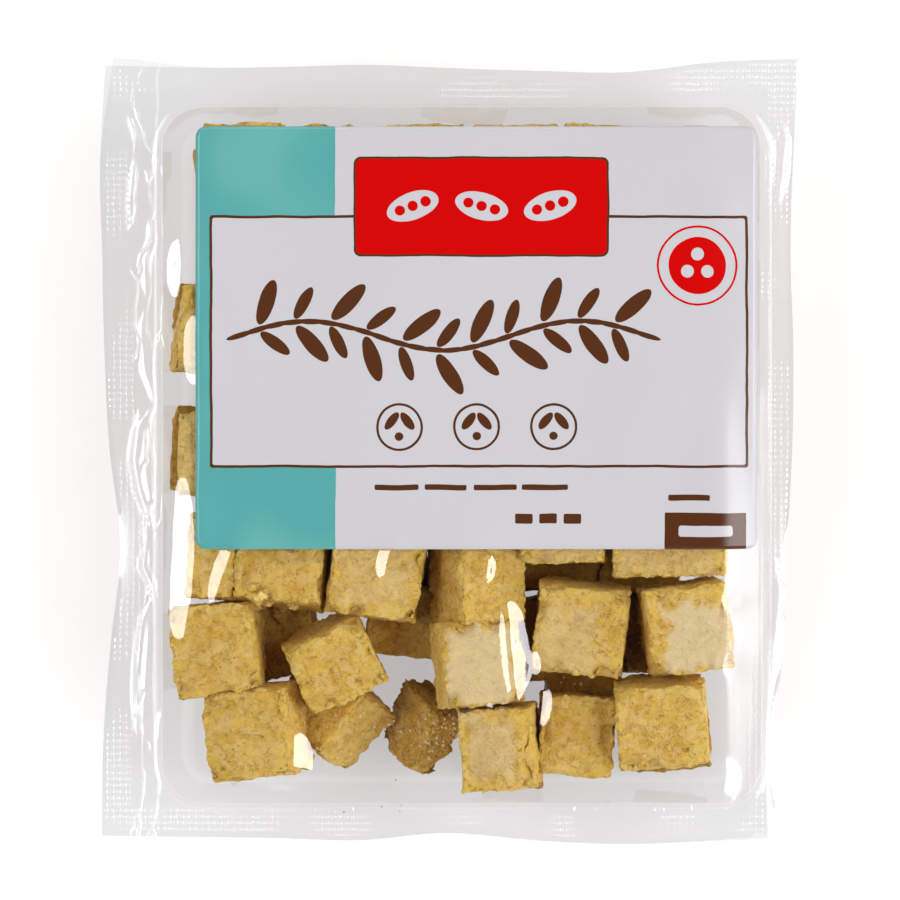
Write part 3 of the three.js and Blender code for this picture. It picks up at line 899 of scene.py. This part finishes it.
def stretch_over(x, y, tree):
    """Height of a taut film held at the flange and resting on whatever stands up under it."""
    held = flange_height(x, y)
    inside = pocket_gap(x, y) < 0
    under = np.full(x.shape, -1e3)
    for row, column in zip(*np.nonzero(inside)):
        place = look_down(tree, x[row, column], y[row, column])[0]
        if place is not None:
            under[row, column] = place.z
    # the film bridges pits: take the highest point round about
    spread = under
    for _ in range(3):
        for axis in (0, 1):
            spread = np.maximum(spread, np.maximum(np.roll(spread, 1, axis), np.roll(spread, -1, axis)))
    stuck = inside & (cling_and_painted_light_field(x, y) > STICKS_AT) & (spread > TOP_LAYER)
    rest = np.maximum(spread + FILM_CLEAR, WELD_HEIGHT - DEEPEST_DIP)
    # film that sticks to a cube is smoothed alone, then the rest is drawn taut between its holds
    level = rest
    for _ in range(10 * finer):
        level = np.where(stuck, round_about(level), level)
    level = np.maximum(level, under + 0.05)
    film = np.where(inside, np.maximum(rest, WELD_HEIGHT), held)
    for _ in range(400 * finer):
        film = np.where(inside, np.maximum(round_about(film) + GAS_LIFT, rest), held)
        film = np.where(stuck, level, film)
    for _ in range(3 * finer):
        film = np.where(inside, np.maximum(round_about(film), under + 0.03), held)
    return film


def slack_bands(x, y):
    """Loose film between the weld and the pocket, side by side: top, left, bottom, right."""
    bands = []
    for gap, width, _ in edge_gaps(x, y):
        inner = smoothstep(SEAL_BAND[1] - 0.6, SEAL_BAND[1] + 0.8, gap)
        bands.append(inner * (1 - smoothstep(width - 0.4, width + 0.8, gap)))
    return bands


def pucker(x, y):
    """Creases in the loose film along each side, and the soft waves of the weld."""
    relief = np.zeros(np.shape(x))
    lying, upright = (15.0, 2.2), (2.2, 15.0)
    creases = ((0.08, lying), (0.18, upright), (0.08, lying), (0.03, upright))
    for band, (strength, pitch) in zip(slack_bands(x, y), creases):
        relief = relief + band * strength * film_noise(x, y, *pitch, 3.7)
    outer = pocket_gap(x, y) > 0
    return relief + outer * 0.05 * film_noise(x, y, 9.0, 9.0, 8.1)


def lid_sheet(columns, rows, x, y, z):
    """The lid film as a grid of facets."""
    bm = bmesh.new()
    bmesh.ops.create_grid(bm, x_segments=columns, y_segments=rows, size=0.5)
    weld = np.zeros(x.shape)
    for gap, _, _ in edge_gaps(x, y):
        band = smoothstep(SEAL_BAND[0] - 0.3, SEAL_BAND[0] + 0.2, gap)
        weld = np.maximum(weld, band * (1 - smoothstep(SEAL_BAND[1] - 0.3, SEAL_BAND[1] + 0.3, gap)))
    loose = sum(band * share for band, share in zip(slack_bands(x, y), (0.15, 0.8, 0.25, 0.08)))
    across, along = DULL_STRIP
    rubbed = DULLNESS * smoothstep(*across[:2], x) * (1 - smoothstep(*across[2:], x))
    rubbed = rubbed * smoothstep(*along[:2], y) * (1 - smoothstep(*along[2:], y))
    fields = {"seal": weld, "slack": loose, "dull": np.maximum(np.maximum(weld, rubbed), loose)}
    layers = [(bm.verts.layers.float.new(name), field) for name, field in fields.items()]
    for vert in bm.verts:
        column, row = round((vert.co.x + 0.5) * columns), round((vert.co.y + 0.5) * rows)
        vert.co = (x[row, column], y[row, column], z[row, column])
        for layer, field in layers:
            vert[layer] = field[row, column]
    return bm


def rounded_loop(half_x, half_y, corner, height):
    """Points round the pocket's rounded rectangle, anticlockwise from the right side's top."""
    arcs = []
    for side_x, side_y, start in ((1, 1, 0), (-1, 1, 90), (-1, -1, 180), (1, -1, 270)):
        middle_x = POCKET_MIDDLE[0] + side_x * (half_x - corner)
        middle_y = POCKET_MIDDLE[1] + side_y * (half_y - corner)
        middle = Vector((middle_x, middle_y, height))
        turns = [math.radians(start + 90 * step / ARC_STEPS) for step in range(ARC_STEPS + 1)]
        arcs.append([middle + corner * Vector((math.cos(turn), math.sin(turn), 0)) for turn in turns])
    points = []
    for arc, following in zip(arcs, arcs[1:] + arcs[:1]):
        points += arc
        points += [arc[-1].lerp(following[0], step / SIDE_STEPS) for step in range(1, SIDE_STEPS)]
    return points


def pocket_ring(inset, height):
    """One ring of the pocket, with the slight waves of drawn film."""
    corner = max(POCKET_CORNER - inset, 1.2)
    ring = rounded_loop(POCKET[0] / 2 - inset, POCKET[1] / 2 - inset, corner, height)
    free = math.sin(math.pi * min(1.0, height / POCKET_DEPTH)) * 0.35
    for point in ring:
        out = Vector((point.x - POCKET_MIDDLE[0], point.y - POCKET_MIDDLE[1], 0)).normalized()
        wave = noise.noise(Vector((point.x / 7.0, point.y / 7.0, height / 40.0)))
        point += out * (wave - 0.5) * free
    return ring


def flange_ring(outwards, rim):
    """One ring of the flange, a share of the way from the pocket's rim to the trimmed edge."""
    spots = []
    bend = POCKET_CORNER + RIM_RADIUS
    for point in rim:
        gaps = [float(gap) for gap, _, _ in edge_gaps(np.float64(point.x), np.float64(point.y))]
        across, along = point.x - POCKET_MIDDLE[0], point.y - POCKET_MIDDLE[1]
        side = max(0.0, abs(across) - POCKET[0] / 2 + POCKET_CORNER) / bend
        end = max(0.0, abs(along) - POCKET[1] / 2 + POCKET_CORNER) / bend
        gap_x = gaps[3] if across > 0 else gaps[1]
        gap_y = gaps[0] if along > 0 else gaps[2]
        most = max(side, end, 1e-6)
        spots.append((
            point.x + math.copysign((gap_x - EDGE_TRIM) * outwards * side / most, across),
            point.y + math.copysign((gap_y - EDGE_TRIM) * outwards * end / most, along),
        ))
    x, y = np.array(spots).T
    z = flange_height(x, y) + pucker(x, y) - TRAY_BELOW_LID
    return [Vector(spot) for spot in zip(x, y, z)]


def tray_sheet():
    """The tray film: a drawn pocket and its flange, pulled up ring by ring from the floor."""
    rings = []
    floor_steps, wall_steps, rim_steps = 6, 8, 3
    for step in range(floor_steps + 1):
        turn = math.pi / 2 * step / floor_steps
        inset = WALL_DRAFT + FLOOR_RADIUS * (1 - math.sin(turn))
        rings.append(pocket_ring(inset, FILM_FLOOR + FLOOR_RADIUS * (1 - math.cos(turn))))
    wall_foot, wall_top = FILM_FLOOR + FLOOR_RADIUS, POCKET_DEPTH - RIM_RADIUS
    for step in range(1, wall_steps + 1):
        share = step / wall_steps
        rings.append(pocket_ring(WALL_DRAFT * (1 - share), wall_foot + (wall_top - wall_foot) * share))
    for step in range(1, rim_steps + 1):
        turn = math.pi / 2 * step / rim_steps
        height = wall_top + (RIM_RADIUS - TRAY_BELOW_LID) * math.sin(turn)
        rings.append(pocket_ring(-RIM_RADIUS * (1 - math.cos(turn)), height))
    # the edge of the heated tool leaves a fine step in the film, just below the rim
    for inset, down in ((-0.10, 0.55), (-0.12, 0.95)):
        rings.insert(-3, pocket_ring(inset, wall_top - down))
    rim = rings[-1]
    rings += [flange_ring(outwards, rim) for outwards in (0.1, 0.25, 0.4, 0.55, 0.7, 0.85, 1.0)]

    bm = bmesh.new()
    loop = bmesh.ops.create_circle(bm, cap_ends=True, radius=1.0, segments=len(rings[0]))["verts"]
    for vert, spot in zip(loop, rings[0]):
        vert.co = spot
    edges = bm.edges[:]
    for ring in rings[1:]:
        grown = bmesh.ops.extrude_edge_only(bm, edges=edges)["geom"]
        fresh = {item for item in grown if isinstance(item, bmesh.types.BMVert)}
        loop = [next(e.other_vert(v) for e in v.link_edges if e.other_vert(v) in fresh) for v in loop]
        for vert, spot in zip(loop, ring):
            vert.co = spot
        edges = [item for item in grown
                 if isinstance(item, bmesh.types.BMEdge) and all(vert in fresh for vert in item.verts)]
    bmesh.ops.recalc_face_normals(bm, faces=bm.faces)
    return bm


class Sheet:
    """A height read off a grid that is drawn in at its edges."""

    def __init__(self, x, y, z):
        self.x, self.y, self.z = x, y, z
        self.rows, self.columns = x.shape[0] - 1, x.shape[1] - 1
        self.step_x, self.step_y = BLANK[0] / self.columns, BLANK[1] / self.rows

    def height(self, x, y):
        column, row = self.columns * (x / BLANK[0] + 0.5), self.rows * (y / BLANK[1] + 0.5)
        for _ in range(4):
            i = int(min(max(row, 0), self.rows - 1))
            j = int(min(max(column, 0), self.columns - 1))
            column = j + (x - self.x[i, j]) / self.step_x
            row = i + (y - self.y[i, j]) / self.step_y
        s, t = min(max(row - i, 0), 1), min(max(column - j, 0), 1)
        near = self.z[i, j] * (1 - t) + self.z[i, j + 1] * t
        far = self.z[i + 1, j] * (1 - t) + self.z[i + 1, j + 1] * t
        return float(near * (1 - s) + far * s)


def label_sheet(top):
    """The label: a thin rounded sheet that follows the lid film."""
    bm = bmesh.new()
    bmesh.ops.create_grid(bm, x_segments=120, y_segments=90, size=0.5)
    core_x, core_y = LABEL[0] / 2 - LABEL_CORNER, LABEL[1] / 2 - LABEL_CORNER
    for vert in bm.verts:
        x, y = vert.co.x * LABEL[0], vert.co.y * LABEL[1]
        over_x, over_y = abs(x) - core_x, abs(y) - core_y
        if over_x > 0 and over_y > 0:
            reach = max(over_x, over_y) / math.hypot(over_x, over_y)
            x = math.copysign(core_x + over_x * reach, x)
            y = math.copysign(core_y + over_y * reach, y)
        x, y = x + LABEL_MIDDLE[0], y + LABEL_MIDDLE[1]
        vert.co = (x, y, top.height(x, y) + LABEL_ABOVE_FILM)
    bmesh.ops.recalc_face_normals(bm, faces=bm.faces)
    bmesh.ops.solidify(bm, geom=bm.faces[:], thickness=0.1)
    return bm


# ---- Making the pack ----

upper_back, lower_back = back_rows(random.Random(41))
fine, medium, plain = ((44, 30, 18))
# Each row: its cubes, the cuts across a face, how wet and shade-darkened it is and its first seed
piles = {
    "tofu_middle_row": pile(MIDDLE_ROW, fine, 0.0, 100),
    "tofu_front_row": pile(FRONT_ROW, fine, 0.0, 120),
    "tofu_lower_row": pile(LOWER_ROW, medium, 0.0, 300),
    "tofu_soaked_cube": pile(SOAKED_CUBE, fine, 0.42, 320),
    # painted shade: the lower cubes in the gaps and those under the back rows are darkened for the shade
    # between the cubes
    "tofu_sodden_and_shaded_row": pile(SODDEN_AND_SHADED_ROW, medium, 0.82, 321),
    "tofu_back_row": pile(upper_back, plain, 0.0, 200),
    "tofu_under_row": pile(lower_back, plain, 0.6, 400),
}
touching = [piles[name] for name in ("tofu_middle_row", "tofu_front_row", "tofu_back_row")]
resting = [row for row in piles.values() if row not in touching]
for row in resting:
    for vert in row.verts:
        vert.co.z = max(vert.co.z, FILM_FLOOR + FOOT_CLEAR)

columns, rows = ((260, 292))
sheet_x, sheet_y = sheet_grid(columns, rows)
film_z = stretch_over(sheet_x, sheet_y, stands_of(touching))
film_z = film_z + pucker(sheet_x, sheet_y) + folds(sheet_x, sheet_y)

# the label is stiffer than the film: it irons out the small waves and lies in broad ones
label_z = film_z
for _ in range(14 * finer):
    label_z = np.maximum(round_about(label_z), film_z)
label_z = label_z + 0.42 * (film_noise(sheet_x, sheet_y, 20.0, 26.0, 5.5) + 0.5)

for row in touching:
    row.normal_update()
    cling_and_painted_light = row.verts.layers.float["cling_and_painted_light"]
    x, y = np.array([vert.co[:2] for vert in row.verts]).T
    for vert, share in zip(row.verts, cling_and_painted_light_field(x, y)):
        vert[cling_and_painted_light] = share * float(vert.normal.z > FACES_UP and vert.co.z > TOP_EDGE)

heap = stands_of(touching + resting)
loose = random.Random(7)
piles["tofu_crumbs"] = crumbs(heap, loose)
piles["whey_beads"] = beads(heap, loose)

tray_tint, lid_tint = (0.872, 0.868, 0.876, 1), (0.975, 0.975, 0.987, 1)
tray_film = clear_film("tray_film", tray_tint, reflect=0.04, edge_shine=0.30, haze=0.07, welded=False)
lid_film = clear_film("lid_film", lid_tint, reflect=0.10, edge_shine=0.60, haze=0.05, welded=True)
curd = tofu_curd()

lid_shape = lid_sheet(columns, rows, sheet_x, sheet_y, film_z)
lid = finish_piece("lid_film_sheet", lid_shape, lid_film)
label = finish_piece("label_sheet", label_sheet(Sheet(sheet_x, sheet_y, label_z)), label_paper())
tray = finish_piece("tray_film_sheet", tray_sheet(), tray_film)
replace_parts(lid, "lid_film")
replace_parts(label, "label")
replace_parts(tray, "tray")
bead = water_bead()
for name, shape in piles.items():
    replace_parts(finish_piece(name, shape, bead if name == "whey_beads" else curd), "tofu")

# ---- Studio ----

scene.view_settings.view_transform = "Standard"

FLOOR_GAP = 0.0002              # in metres, below the tray
floor_bm = bmesh.new()
bmesh.ops.create_grid(floor_bm, x_segments=1, y_segments=1, size=2.5)
floor_mesh = into_mesh("studio_floor", floor_bm)
floor_mesh.materials.append(studio_floor())
floor = bpy.data.objects.new("studio_floor", floor_mesh)
floor.location.z = -FLOOR_GAP
scene.collection.objects.link(floor)

world = bpy.data.worlds.new("studio")
world.use_nodes = True
sky = world.node_tree
direction = node(sky, "ShaderNodeTexCoord").outputs["Generated"]
upwards = node(sky, "ShaderNodeSeparateXYZ", {0: direction}).outputs["Z"]
glow = sky.nodes["Background"].inputs
feed(sky, glow["Color"], (1.0, 1.0, 1.0, 1))
feed(sky, glow["Strength"], ramp(sky, upwards, 0.25, 0.92, 0.90, 0.02))
scene.world = world


def softbox(name, place, size, watts):
    lamp = bpy.data.lights.new(name, "AREA")
    lamp.shape = "RECTANGLE"
    lamp.size, lamp.size_y = size
    lamp.energy = watts
    made = bpy.data.objects.new(name, lamp)
    made.location = place
    made.rotation_euler = Vector(place).to_track_quat("Z", "Y").to_euler()
    scene.collection.objects.link(made)


softbox("left_softbox", (-0.58, 0.0, 0.86), (0.8, 0.34), 4.6)
softbox("right_softbox", (0.6, -0.06, 0.86), (0.7, 0.32), 4.5)
softbox("side_light", (1.0, -0.36, 0.4), (0.7, 0.6), 5.3)
softbox("far_light", (-0.2, 1.0, 0.55), (0.8, 0.35), 1.9)

camera_data = bpy.data.cameras.new("camera")
camera_data.sensor_width = 36.0
camera_data.lens = camera_data.sensor_width * CAMERA_HEIGHT / (VIEW_SIZE / VIEW_SCALE)
camera = bpy.data.objects.new("camera", camera_data)
camera.location = (BLANK_SHIFT.x * MM, BLANK_SHIFT.y * MM, (CAMERA_HEIGHT + POCKET_DEPTH) * MM)
scene.collection.objects.link(camera)
scene.camera = camera
